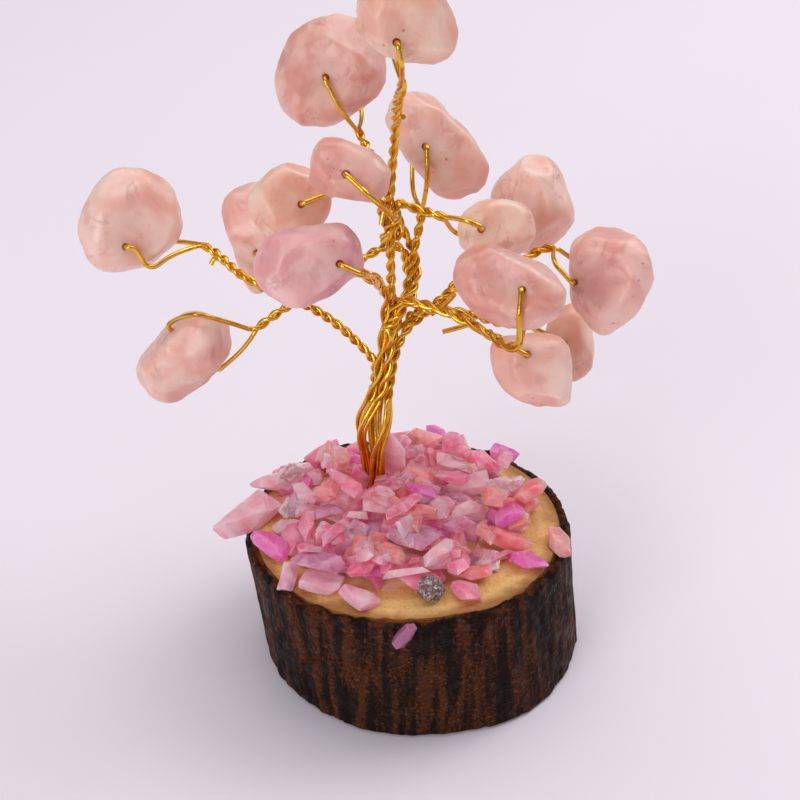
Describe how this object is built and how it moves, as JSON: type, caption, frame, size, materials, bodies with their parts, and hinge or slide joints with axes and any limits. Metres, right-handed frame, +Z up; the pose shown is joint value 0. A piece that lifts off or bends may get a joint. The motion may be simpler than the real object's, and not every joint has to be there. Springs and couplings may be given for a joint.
{
  "type": "gemstone tree ornament",
  "caption": "Gemstone tree ornament: drilled rose quartz stones on twisted brass wire branches, the wire trunk set in a bark-edged wood slice bedded with crushed pink stone.",
  "frame": {"origin": "middle of the wood slice's bottom face, on the surface it stands on", "axes": "+Z up along the trunk, -Y towards the front, +X to the right seen from the front"},
  "size_m": [0.059, 0.0457, 0.0743],
  "materials": {
    "wood": "sawn, matt",
    "bark": "rough, varnished",
    "clear_glue": "gloss",
    "crushed_rose": "gloss",
    "crushed_pale": "gloss",
    "crushed_peach": "gloss",
    "crushed_smoky": "gloss",
    "crushed_magenta": "gloss",
    "rock": "rough",
    "brass_wire": "gloss",
    "rose_quartz": "tumbled satin"
  },
  "bodies": {
    "tree": {"wood_slice": "wood", "bark_ring": "bark", "glue_bed": "clear_glue", "chips_rose": "crushed_rose", "chips_pale": "crushed_pale", "chips_peach": "crushed_peach", "chips_smoky": "crushed_smoky", "chips_magenta": "crushed_magenta", "rock_crumb": "rock", "stem_top": "brass_wire", "stem_top_left": "brass_wire", "stem_upper_right": "brass_wire", "stem_right_back": "brass_wire", "stem_right_front": "brass_wire", "stem_centre_right": "brass_wire", "stem_far_right": "brass_wire", "stem_lower_right": "brass_wire", "stem_low_right_back": "brass_wire", "stem_far_left": "brass_wire", "stem_low_left": "brass_wire", "stem_upper_left": "brass_wire", "stem_mid_left": "brass_wire", "stem_front_left": "brass_wire", "stem_back_left": "brass_wire"},
    "stone_top": {"stone_top": "rose_quartz"},
    "stone_top_left": {"stone_top_left": "rose_quartz"},
    "stone_upper_right": {"stone_upper_right": "rose_quartz"},
    "stone_right_back": {"stone_right_back": "rose_quartz"},
    "stone_right_front": {"stone_right_front": "rose_quartz"},
    "stone_centre_right": {"stone_centre_right": "rose_quartz"},
    "stone_far_right": {"stone_far_right": "rose_quartz"},
    "stone_lower_right": {"stone_lower_right": "rose_quartz"},
    "stone_low_right_back": {"stone_low_right_back": "rose_quartz"},
    "stone_far_left": {"stone_far_left": "rose_quartz"},
    "stone_low_left": {"stone_low_left": "rose_quartz"},
    "stone_upper_left": {"stone_upper_left": "rose_quartz"},
    "stone_mid_left": {"stone_mid_left": "rose_quartz"},
    "stone_front_left": {"stone_front_left": "rose_quartz"},
    "stone_back_left": {"stone_back_left": "rose_quartz"}
  },
  "joints": [
    {"name": "swivel_top", "type": "hinge", "parent": "tree", "child": "stone_top", "pos_m": [-0.00282, -0.00423, 0.06878], "axis": [0.1384, -0.9848, 0.1045], "range_deg": [-10, 10]},
    {"name": "swivel_top_left", "type": "hinge", "parent": "tree", "child": "stone_top_left", "pos_m": [-0.00927, 0.02265, 0.0568], "axis": [-0.2382, -0.9556, 0.1736], "range_deg": [-10, 10]},
    {"name": "swivel_upper_right", "type": "hinge", "parent": "tree", "child": "stone_upper_right", "pos_m": [-0.00019, 0.01459, 0.05134], "axis": [0.2434, -0.8487, 0.4695], "range_deg": [-10, 10]},
    {"name": "swivel_right_back", "type": "hinge", "parent": "tree", "child": "stone_right_back", "pos_m": [0.0111, 0.01683, 0.04308], "axis": [-0.3664, -0.9069, 0.2079], "range_deg": [-10, 10]},
    {"name": "swivel_right_front", "type": "hinge", "parent": "tree", "child": "stone_right_front", "pos_m": [0.00535, 0.00368, 0.04676], "axis": [0.1682, -0.7913, 0.5878], "range_deg": [-10, 10]},
    {"name": "swivel_centre_right", "type": "hinge", "parent": "tree", "child": "stone_centre_right", "pos_m": [0.00946, -0.00547, 0.04479], "axis": [-0.1724, -0.8109, 0.5592], "range_deg": [-10, 10]},
    {"name": "swivel_far_right", "type": "hinge", "parent": "tree", "child": "stone_far_right", "pos_m": [0.01645, 0.00637, 0.0403], "axis": [-0.4119, -0.8446, 0.342], "range_deg": [-10, 10]},
    {"name": "swivel_lower_right", "type": "hinge", "parent": "tree", "child": "stone_lower_right", "pos_m": [0.00997, -0.00049, 0.03601], "axis": [0.1324, -0.9418, 0.309], "range_deg": [-10, 10]},
    {"name": "swivel_low_right_back", "type": "hinge", "parent": "tree", "child": "stone_low_right_back", "pos_m": [0.01572, 0.00898, 0.03122], "axis": [-0.2767, -0.7602, 0.5878], "range_deg": [-10, 10]},
    {"name": "swivel_far_left", "type": "hinge", "parent": "tree", "child": "stone_far_left", "pos_m": [-0.0309, 0.00825, 0.04362], "axis": [0.391, -0.8782, 0.2756], "range_deg": [-10, 10]},
    {"name": "swivel_low_left", "type": "hinge", "parent": "tree", "child": "stone_low_left", "pos_m": [-0.02445, 0.00924, 0.03084], "axis": [0.682, 0, -0.7314], "range_deg": [-10, 10]},
    {"name": "swivel_upper_left", "type": "hinge", "parent": "tree", "child": "stone_upper_left", "pos_m": [-0.00682, 0.0003, 0.05402], "axis": [-0.1801, -0.8471, 0.5], "range_deg": [-10, 10]},
    {"name": "swivel_mid_left", "type": "hinge", "parent": "tree", "child": "stone_mid_left", "pos_m": [-0.01252, 0.00642, 0.04838], "axis": [0.2676, -0.8236, 0.5], "range_deg": [-10, 10]},
    {"name": "swivel_front_left", "type": "hinge", "parent": "tree", "child": "stone_front_left", "pos_m": [-0.00835, -0.00401, 0.04763], "axis": [0.2347, -0.9415, 0.2419], "range_deg": [-10, 10]},
    {"name": "swivel_back_left", "type": "hinge", "parent": "tree", "child": "stone_back_left", "pos_m": [-0.01685, 0.01294, 0.04067], "axis": [-0.1651, -0.9366, 0.309], "range_deg": [-10, 10]}
  ]
}
